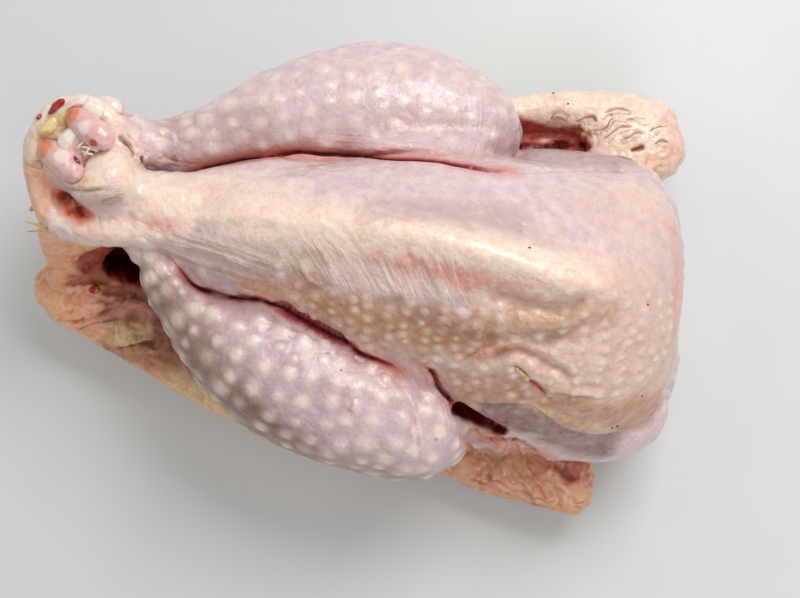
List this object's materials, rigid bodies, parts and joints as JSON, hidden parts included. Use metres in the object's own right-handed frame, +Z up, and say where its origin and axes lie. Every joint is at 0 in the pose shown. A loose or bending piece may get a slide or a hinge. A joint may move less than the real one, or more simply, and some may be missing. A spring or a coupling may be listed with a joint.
{
  "type": "whole raw chicken",
  "caption": "Whole plucked raw chicken lying on its back, breast up, with folded wings, cut leg ends tucked through the belly skin and an open vent into the drawn body.",
  "frame": {"origin": "on the small flat that the back makes on the surface it lies on, under the middle of the breast", "axes": "+X towards the neck end, +Y towards the bird's right side, +Z up through the breast"},
  "size_m": [0.2503, 0.1786, 0.1131],
  "materials": {
    "skin": "moist raw skin, lavender pink over the legs, cream and peach over the breast, wings and tail, satin wet gloss",
    "cartilage": "wet pink and white cartilage, glossy"
  },
  "bodies": {
    "root": {"chicken": "skin", "left_knuckle": "cartilage", "right_knuckle": "cartilage"}
  },
  "joints": []
}
